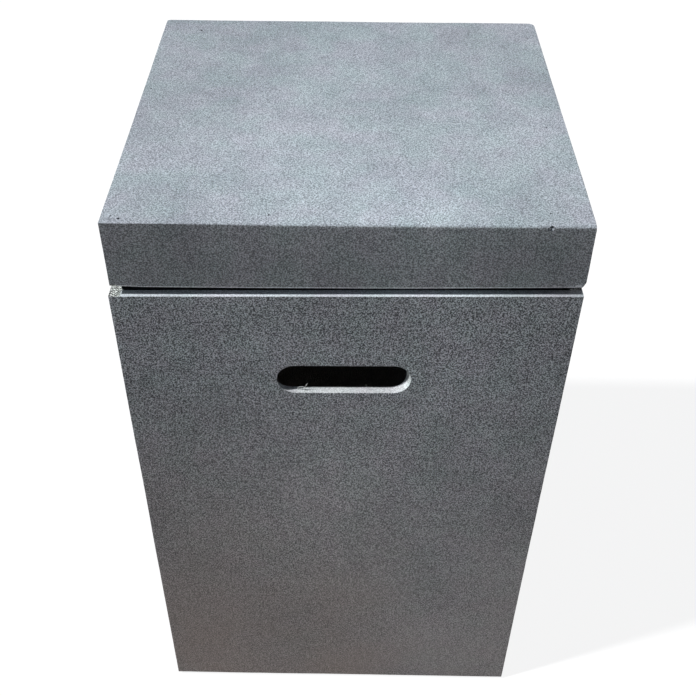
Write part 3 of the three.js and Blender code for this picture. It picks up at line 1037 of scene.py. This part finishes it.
def in_pocket(point):
    within = lid_low.x + WALL - MM < point.x < pocket_x + MM and abs(point.y) < pocket_y + MM
    return within and lid_bottom + SKIRT_EDGE < point.z < lid_high.z - SLAB + MM


make_uneven(lid, inner_depth_mm=1.2, is_inner=in_pocket)
settle_edge(lid, lid_bottom, LID_EDGE_LIFT, LID_EDGE_SAG, LID_EDGE_CURL)
levels = [vert.co.z / MM for vert in lid.data.vertices]
print(f"the lid now reaches from {min(levels):.1f} to {max(levels):.1f} mm")

# %% [markdown]
# ## A knocked corner
#
# The lid's lower right corner at the front has been knocked round. Its faces are cut finer first. Then an
# egg is thought of inside the corner. It reaches past the three faces and the three edges, but not to the
# very corner, and every point that lies outside it is drawn in to its surface. A matrix turns the egg into
# a plain ball and back.

# %% Knocked corner
EGG_SIZE = Vector((6.5, 22.0, 14.0)) * MM
EGG_SHARE = 1.46
KNOCK_STEP = 0.8 * MM
INWARD = Vector((-1, 1, 1))
knocked = Vector((lid_high.x, lid_low.y, lid_bottom + LID_EDGE_LIFT))
from_ball = Matrix.Translation(knocked + INWARD * EGG_SIZE) @ Matrix.Diagonal(EGG_SIZE).to_4x4()
to_ball = from_ball.inverted()


def towards_corner(point):
    return all((to_ball @ point)[axis] * INWARD[axis] < 0 for axis in range(3))


open_piece(lid)
for axis in range(3):
    for step in range(1, round(EGG_SIZE[axis] / KNOCK_STEP)):
        place = knocked + on_axis(axis, INWARD[axis] * step * KNOCK_STEP)
        pick("FACE", lambda face: towards_corner(face.calc_center_median()))
        bpy.ops.mesh.bisect(plane_co=place, plane_no=on_axis(axis, 1))
close_piece()
drawn_in = 0
for vert in lid.data.vertices:
    in_ball = to_ball @ vert.co
    if towards_corner(vert.co) and in_ball.length > EGG_SHARE:
        vert.co = from_ball @ (in_ball.normalized() * EGG_SHARE)
        drawn_in += 1
print("knocked corner:", drawn_in, "points drawn in")

# %% [markdown]
# ## Pinholes, nicks and a drip
#
# Air against the mould leaves round pinholes about a millimetre across, and handling nicks the edges. Those
# that show in the photograph are set where they are; more are scattered by a seeded random draw over the
# other sides. Each is a tiny icosphere, squashed and turned, that lies half sunk in the surface. One
# boolean takes them all out. A drip of slurry on the sill of the slot is added the same way.

# %% Pinholes and nicks
random.seed(11)
PINHOLES = [
    ((-182, -192, 657.8), 1.3), ((-189, -188, 657.8), 1.0), ((-190, 35, 657.9), 1.1),
    ((-157, 171, 657.9), 1.3), ((188, 160, 658.8), 1.3), ((181, -34, 658.8), 1.1),
    ((178, -103, 658.8), 1.1), ((165, -177, 658.7), 1.0), ((-62, -184, 658.3), 1.1),
    ((94, -92, 658.6), 1.0), ((163.5, -195.6, 657.3), 2.2), ((161.5, -195.6, 656.6), 1.5),
    ((45, -198.6, 520), 1.4), ((-93, -198.7, 517), 1.1), ((36, -198.7, 530), 1.0),
    ((137, -198.7, 508), 1.0),
]
body_holes = [(Vector(place) * MM, size * MM) for place, size in PINHOLES if place[2] < rim / MM]
lid_holes = [(Vector(place) * MM, size * MM) for place, size in PINHOLES if place[2] > rim / MM]
print(len(body_holes), "pinholes seen on the body,", len(lid_holes), "on the lid")

# %% Scattered pinholes
SINK_SHARE = 0.6
PINHOLE_SIZES = (0.4 * MM, 0.8 * MM)
NICK_SIZES = (0.5 * MM, 1.1 * MM)
NICK_SINK = 0.3 * MM
NICK_DROP = 0.4 * MM


def on_other_side(spread, reach, sink):
    """A place on the right, rear or left side, where the photograph doesn't show the real pinholes."""
    along = random.uniform(-spread, spread)
    return quarter_turns(random.randint(1, 3)) @ Vector((along * reach, -reach + sink, 0))


def scatter_on_walls(count, holes, low, high, reach):
    for index in range(count):
        size = random.uniform(*PINHOLE_SIZES)
        place = on_other_side(0.9, reach, SINK_SHARE * size)
        place.z = random.uniform(low, high)
        holes.append((place, size))


def scatter_on_edge(count, holes, level, tilt, reach):
    for index in range(count):
        place = on_other_side(0.97, reach, NICK_SINK)
        place.z = level + place.x * tilt
        holes.append((place, random.uniform(*NICK_SIZES)))


def scatter_on_top(count, holes, level, reach):
    for index in range(count):
        size = random.uniform(*PINHOLE_SIZES)
        across = random.uniform(-reach, reach)
        holes.append((Vector((across, random.uniform(-reach, reach), level - SINK_SHARE * size)), size))


scatter_on_walls(80, body_holes, 30 * MM, rim - 20 * MM, reach=half)
scatter_on_edge(26, body_holes, rim, RIM_LIFT / half, reach=half)
scatter_on_walls(24, lid_holes, lid_bottom + 10 * MM, lid_high.z - 10 * MM, reach=lid_high.y)
scatter_on_edge(16, lid_holes, lid_high.z - NICK_DROP, 0, reach=lid_high.y)
scatter_on_edge(14, lid_holes, lid_bottom, LID_EDGE_LIFT / half, reach=lid_high.y)
scatter_on_top(22, lid_holes, lid_high.z, reach=180 * MM)
print(len(body_holes), "pinholes in all on the body,", len(lid_holes), "on the lid")

# %% Cutting them
SQUASH = (0.8, 1.25)


def make_specks(holes):
    specks = []
    for place, size in holes:
        bpy.ops.object.select_all(action="DESELECT")
        shape = [size * random.uniform(*SQUASH) for axis in range(3)]
        turned = (random.uniform(0, 3), random.uniform(0, 3), 0)
        bpy.ops.mesh.primitive_ico_sphere_add(
            subdivisions=2, radius=1, location=place, scale=shape, rotation=turned
        )
        specks.append(name_piece("speck"))
    return join(specks) if len(specks) > 1 else specks[0]


combine(body, make_specks(body_holes), "DIFFERENCE")
combine(lid, make_specks(lid_holes), "DIFFERENCE")
DRIP = (Vector((-1.5, -197.5, 478.9)) * MM, 1.6 * MM)
combine(body, make_specks([DRIP]), "UNION")
print("body", len(body.data.polygons), "faces, lid", len(lid.data.polygons), "faces")

# %% [markdown]
# ## Which concrete goes where
#
# Faces are given their surface by place: inside the hollow it is the rolled backing, in the openings the
# trimmed edge, on the front of the rim the paler one that carries painted light in the gap, on the rest of
# the rim the broken edge, and everywhere else the mould face. The lid's lower edge is dressed as the rim
# is. On a wall only the small faces of the worn strip count as edge. Smooth shading with sharp creases at
# 32 degrees, and normals weighted by face area, keep the broad faces flat up to their small roundings.

# %% Surface of a face
RIM_BAND = 1.2 * MM
LID_BAND = 2.8 * MM
WAVE_REACH = 2 * MM
FRONT_START = 0.5 * MM
LARGEST_TRIM = 12 * MM**2
FACE, OPENING, RIM_FRONT, RIM_REST, HOLLOW = range(5)


def surface_of(face, piece, hollow, edge_level, edge_lift, band):
    low, high = hollow
    centre = face.center
    across = max(abs(centre.x), abs(centre.y))
    near_level = abs(centre.z - edge_level - centre.x / half * edge_lift) < band
    in_strip = across > core + WALL / 2 and face.area < LARGEST_TRIM
    if near_level and (abs(face.normal.z) > 0.3 or in_strip):
        on_front = centre.y < -core - FRONT_START and centre.x > -core
        return RIM_FRONT if on_front else RIM_REST
    if all(low[axis] - WAVE_REACH < centre[axis] < high[axis] + WAVE_REACH for axis in range(3)):
        return HOLLOW
    if piece is body and core + WAVE_REACH < across < half - RIM_BAND:
        return OPENING
    return FACE


def dress_casting(piece, face_mix, hollow, edge_level, edge_lift, band):
    piece.data.materials.clear()
    for material in (face_mix, trimmed, pale_and_painted_light, broken, backing):
        piece.data.materials.append(material)
    for face in piece.data.polygons:
        face.material_index = surface_of(face, piece, hollow, edge_level, edge_lift, band)
    finish_piece(piece)
    apply_modifier(piece, "WEIGHTED_NORMAL", keep_sharp=True)
    print(piece.name, "is dressed in", len(piece.data.materials), "surfaces")

# %% Dressed castings
body_hollow = ((-core, -core, body_low.z - OVERRUN), (core, core, rim))
dress_casting(body, body_face, body_hollow, rim, RIM_LIFT, RIM_BAND)
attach(body, "base")
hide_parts("body_shell")

pocket = ((lid_low.x + WALL, -pocket_y, rim), (pocket_x, pocket_y, lid_high.z - SLAB))
dress_casting(lid, lid_face, pocket, lid_bottom, LID_EDGE_LIFT, LID_BAND)
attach(lid, "lid")
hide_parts("lid_shell")

# %% [markdown]
# ## Stray glass strands
#
# Where the plug was pulled out, a few strands of glass curl over the sill of the slot. A strand is a tiny
# five-sided disc, pulled out step by step along a curl. A real one is hair-thin; these are drawn 0.5 mm
# thick, as a clinging tuft is, so that the picture can show them. The list gives each one's place along the
# sill, its length and how far it curls round.

# %% Strands
STRAND_RADIUS = 0.25 * MM
STRAND_STEPS = 8
STRAND_DEPTH = 4.6 * MM
STRAND_ROOT = 0.8 * MM
LEAN_OUT = 0.3
RISE = 0.2
STRANDS = [
    (-42.5, 9.5, 2.6), (-41.3, 8.2, 2.3), (-37.8, 6.0, -1.4), (-35.4, 8.6, 0.6), (-36.5, 5.0, 1.8),
    (21.5, 8.0, -0.5), (23, 6.0, 1.2),
]
sill = SLOT_LEVEL - SLOT_HEIGHT / 2
tufts = []
for along, tall, curl in STRANDS:
    bpy.ops.object.select_all(action="DESELECT")
    root = (along * MM, -core - STRAND_DEPTH, sill - STRAND_ROOT)
    bpy.ops.mesh.primitive_circle_add(vertices=5, radius=STRAND_RADIUS, fill_type="NGON", location=root)
    strand = name_piece("strand")
    open_piece(strand)
    pick_all()
    for step in range(STRAND_STEPS):
        bend = curl * step / STRAND_STEPS
        stride = tall * MM / STRAND_STEPS
        extrude((stride * math.sin(bend), -LEAN_OUT * stride, stride * (math.cos(bend) + RISE)))
    pick_all()
    bpy.ops.mesh.normals_make_consistent(inside=False)
    close_piece()
    tufts.append(strand)
strands = join(tufts)
strands.name = "glass_strands"
finish_piece(strands, glass_strand)
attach(strands, "base")
print(len(tufts), "strands")

# %% [markdown]
# ## Hardware at every corner
#
# Each piece of hardware is finished once and then copied to the four corners, where it stands for the
# model's own simple node. A bracket's two screws, with their washers, are one set and its turn over the
# diagonal.

# %% Placing hardware


def place_hardware(piece, node, material, ends=("",)):
    finish_piece(piece, material)
    for corner, turns in CORNERS.items():
        for end in ends:
            matrix = quarter_turns(turns) @ OVER_DIAGONAL if end == "_b" else quarter_turns(turns)
            copy = copy_piece(piece, f"{piece.name}_{corner}{end}", matrix)
            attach(copy, "base")
            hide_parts(f"{node}_{corner}{end}")
    bpy.data.objects.remove(piece)

# %% [markdown]
# ## Bracket
#
# A bracket is 3 mm steel sheet. Two legs meet at a bend, and a plate is welded across their tops. Sheet
# metal is easiest to model as the outside of a box: three faces stay, the bend is bevelled, the plate's
# inner corner is cut off at 45 degrees, the free corners are rounded, and Solidify gives the sheet its
# thickness. Drills then make the holes, and a last bevel breaks every edge, because powder coat doesn't
# cling to a sharp one.

# %% Brackets
STEEL = 3 * MM
BEND_RADIUS = 3 * MM
PLATE_NOSE = 20 * MM
LEG_CORNER = 4 * MM
NOSE_CORNER = 2.5 * MM
EDGE_BREAK = 0.3 * MM
SHANK_HOLE = 2.8 * MM
STEM_HOLE = 4.1 * MM
bumper_low, bumper_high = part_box("lid_bumper_rear_right")
bumper_axis = (bumper_low.x + bumper_high.x) / 2
bumper_centre = (bumper_axis, bumper_axis)

bracket = add_block("bent_bracket", bracket_low, bracket_high)
open_piece(bracket)
pick("FACE", lambda face: min(face.normal) < -0.9)
bpy.ops.mesh.delete(type="FACE")
bevel_edges(lambda edge: is_upright(edge) and len(edge.link_faces) == 2, BEND_RADIUS, steps=4)
pick_all()
nose = bracket_high.x - PLATE_NOSE
bpy.ops.mesh.bisect(plane_co=(bracket_low.x, nose, 0), plane_no=(1, 1, 0), clear_inner=True)
pick("VERT", lambda vert: vert.co.z < bracket_low.z + MM and min(vert.co.xy) < bracket_low.x + MM)
bpy.ops.mesh.bevel(offset=LEG_CORNER, segments=4, affect="VERTICES")
pick("VERT", lambda vert: vert.co.z > bracket_high.z - MM and max(vert.co.xy) < bracket_high.x - MM
     and abs(vert.co.x + vert.co.y - bracket_low.x - nose) < MM)
bpy.ops.mesh.bevel(offset=NOSE_CORNER, segments=3, affect="VERTICES")
close_piece()
thicken(bracket, STEEL)
print("bent sheet", len(bracket.data.polygons), "faces")

# %% Drilled brackets
inner_face = bracket_high.x - STEEL
plate_under = bracket_high.z - STEEL
drill = add_round("drill", SHANK_HOLE, inner_face - OVERRUN, bracket_high.x + OVERRUN, steps=24)
drill.data.transform(ON_SCREW_LINE)
stem_drill = add_round("stem_drill", STEM_HOLE, plate_under - OVERRUN, bracket_high.z + OVERRUN,
                       steps=32, centre=bumper_centre)
other_drill = copy_piece(drill, "other_drill", OVER_DIAGONAL)
combine(bracket, join([other_drill, drill, stem_drill]), "DIFFERENCE")
break_edges(bracket, EDGE_BREAK, least_turn=40)
print("bracket", len(bracket.data.polygons), "faces")

# %% [markdown]
# ## Weld
#
# The plate is held by two short weld beads in the inner corners. A bead is a rod whose length is cut into
# short steps, and every other ring is drawn in, which gives the ripples of a hand weld.

# %% Weld beads
BEAD_RADIUS = 1.7 * MM
BEAD_STEP = 1.5 * MM
BEAD_MARGIN = 6 * MM
RIPPLE_SHARE = 0.86
bead_low = bracket_low.x + BEAD_MARGIN
bead_high = inner_face - BEAD_MARGIN
bead = add_round("bead", BEAD_RADIUS, bead_low, bead_high, steps=12)
cut_grid(bead, 2, bead_low + BEAD_STEP, bead_high - BEAD_STEP, BEAD_STEP)
for vert in bead.data.vertices:
    if round((vert.co.z - bead_low) / BEAD_STEP) % 2 == 0:
        vert.co.x *= RIPPLE_SHARE
        vert.co.y *= RIPPLE_SHARE
TO_LEFT = Matrix.Rotation(math.pi / 2, 4, "Y")
bead.data.transform(Matrix.Translation((0, inner_face, plate_under)) @ TO_LEFT)
other_bead = copy_piece(bead, "other_bead", Matrix.Translation((0, 0, 2 * plate_under)) @ SWAP)
combine(bracket, join([bead, other_bead]), "UNION")
print("welded bracket", len(bracket.data.polygons), "faces")
place_hardware(bracket, "corner_bracket", powder_coat)

# %% [markdown]
# ## Bumper
#
# The lid lies on a rubber button with a barbed stem that snaps into the plate. It starts as the button, a
# short cylinder with a rounded rim and a dimple, and the stem, barb and tip are pulled out of its
# underside.

# %% Bumpers
BUMPER_HEIGHT = 6 * MM
BUMPER_ROUNDING = 1.5 * MM
STEM_RADIUS = 3.8 * MM
BARB_RADIUS = 4.9 * MM
BARB_HEIGHT = 4 * MM
BARB_STEP = 0.05 * MM
BARB_TIP_SHARE = 0.4
DIMPLE = 0.4 * MM
DIMPLE_SHARE = 0.8
bumper_radius = (bumper_high.x - bumper_low.x) / 2
button_low = bumper_high.z - BUMPER_HEIGHT
middle = (bumper_axis, bumper_axis, button_low)
bumper = add_round("snap_in_bumper", bumper_radius, button_low, bumper_high.z, steps=40,
                   centre=bumper_centre)
open_piece(bumper)
bevel_edges(at_level(bumper_high.z), BUMPER_ROUNDING, steps=4)
pick("FACE", lambda face: face.normal.z > 0.99)
bpy.ops.mesh.inset(thickness=bumper_radius / 2)
pull_and_scale((0, 0, -DIMPLE), DIMPLE_SHARE, middle)
pick("FACE", lambda face: face.normal.z < -0.9)
bpy.ops.mesh.inset(thickness=bumper_radius - STEM_RADIUS)
extrude((0, 0, bumper_low.z + BARB_HEIGHT - button_low))
pull_and_scale((0, 0, -BARB_STEP), BARB_RADIUS / STEM_RADIUS, middle)
pull_and_scale((0, 0, -BARB_HEIGHT + BARB_STEP), BARB_TIP_SHARE, middle)
close_piece()
print("bumper", len(bumper.data.polygons), "faces")
place_hardware(bumper, "lid_bumper", moulded_rubber)

# %% [markdown]
# ## Foot
#
# A foot is a thick rubber disc, let into the concrete. Its lower rim is rounded, a groove runs round the
# tread, and the screw head sits deep in a counterbore. Insets make the rings and extrusions give them
# depth. A drill makes the hole for the screw.

# %% Feet
FOOT_ROUNDING = 2 * MM
TREAD_INSET = 4 * MM
GROOVE_WIDTH = 1.6 * MM
GROOVE_DEPTH = 1.0 * MM
BORE_RADIUS = 8 * MM
BORE_DEPTH = 5.5 * MM
FOOT_HOLE = 3.3 * MM
tread = foot_radius - FOOT_ROUNDING
groove_middle = tread - TREAD_INSET - GROOVE_WIDTH / 2


def is_groove(face):
    centre = face.calc_center_median()
    away = math.hypot(centre.x - foot_axis, centre.y - foot_axis)
    return face.normal.z < -0.99 and abs(away - groove_middle) < GROOVE_WIDTH / 2


foot = add_round("rubber_foot", foot_radius, foot_low.z, foot_high.z, steps=48, centre=foot_centre)
open_piece(foot)
bevel_edges(at_level(foot_low.z), FOOT_ROUNDING, steps=4)
pick("FACE", lambda face: face.normal.z < -0.99)
for width in (TREAD_INSET, GROOVE_WIDTH, tread - TREAD_INSET - GROOVE_WIDTH - BORE_RADIUS):
    bpy.ops.mesh.inset(thickness=width)
extrude((0, 0, BORE_DEPTH))
pick("FACE", is_groove)
extrude((0, 0, GROOVE_DEPTH))
close_piece()
drill = add_round("drill", FOOT_HOLE, foot_low.z, foot_high.z + OVERRUN, steps=32, centre=foot_centre)
combine(foot, drill, "DIFFERENCE")
print("foot", len(foot.data.polygons), "faces")
place_hardware(foot, "foot", moulded_rubber)

# %% [markdown]
# ## Screws and washers
#
# All are button-head screws with a hexagon socket, in two sizes. The head is a cylinder with a domed rim.
# The shank is pulled out of its underside and ends in a chamfer, and a six-sided bar cuts the socket.
# Washers are a short tube. Each is built upright, with its head up, and then laid along its own hole.

# %% Screws and washers
DOME_SHARE = 0.6
TIP_SHARE = 0.75
WASHER_BREAK = 0.12 * MM


def make_screw(name, length, head_radius, head_height, shank_radius, key_radius, key_depth):
    screw = add_round(name, head_radius, length - head_height, length, steps=32)
    open_piece(screw)
    bevel_edges(at_level(length), head_height * DOME_SHARE, steps=5)
    pick("FACE", lambda face: face.normal.z < -0.9)
    bpy.ops.mesh.inset(thickness=head_radius - shank_radius)
    extrude((0, 0, -(length - head_height - shank_radius / 2)))
    pull_and_scale((0, 0, -shank_radius / 2), TIP_SHARE, (0, 0, 0))
    close_piece()
    key = add_round("key", key_radius, length - key_depth, length + OVERRUN, steps=6)
    combine(screw, key, "DIFFERENCE")
    return screw


def make_washer(name, thickness, radius, bore_radius):
    washer = add_round(name, radius, 0, thickness, steps=40)
    open_piece(washer)
    pick("FACE", lambda face: abs(face.normal.z) > 0.9)
    bpy.ops.mesh.delete(type="FACE")
    close_piece()
    thicken(washer, radius - bore_radius)
    break_edges(washer, WASHER_BREAK)
    return washer


# %% Fastening
HEAD_FORWARD = Matrix.Rotation(math.pi / 2, 4, "X")
HEAD_DOWN = Matrix.Rotation(math.pi, 4, "X")
# Head radius and height, shank radius, key radius and depth.
BRACKET_SCREW = (4.75 * MM, 2.8 * MM, 2.5 * MM, 1.7 * MM, 1.6 * MM)
FOOT_SCREW = (5.5 * MM, 2.9 * MM, 3.0 * MM, 2.3 * MM, 1.8 * MM)


def place_fasteners(kind, screw_sizes, bore_radius, axis, centre, turn, ends=("",)):
    """Makes a screw and its washer as long as the model's own, and lays them along an axis."""
    for part in ("screw", "washer"):
        low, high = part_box(f"{kind}_{part}_rear_right{ends[0]}")
        length = high[axis] - low[axis]
        if part == "screw":
            piece = make_screw(f"{kind}_button_screw", length, *screw_sizes)
        else:
            piece = make_washer(f"{kind}_flat_washer", length, (high.x - low.x) / 2, bore_radius)
        outer_end = Vector(centre)
        outer_end[axis] = high[axis]
        piece.data.transform(Matrix.Translation(outer_end) @ turn)
        place_hardware(piece, f"{kind}_{part}", zinc_plate, ends)
        print(kind, part, round(length / MM, 1), "mm long")


place_fasteners("bracket", BRACKET_SCREW, SHANK_HOLE, 1, (screw_along, 0, screw_level), HEAD_FORWARD,
                ends=("_a", "_b"))
place_fasteners("foot", FOOT_SCREW, FOOT_HOLE, 2, (foot_axis, foot_axis, 0), HEAD_DOWN)

# %% [markdown]
# ## Inserts
#
# The brass inserts are buried in the concrete, so the model's own simple solids stay, with a better
# material.

# %% Inserts
inserts = [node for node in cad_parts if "insert" in node]
for node in inserts:
    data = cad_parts[node].data
    data.materials.clear()
    data.materials.append(turned_brass)
print(len(inserts), "inserts in brass")
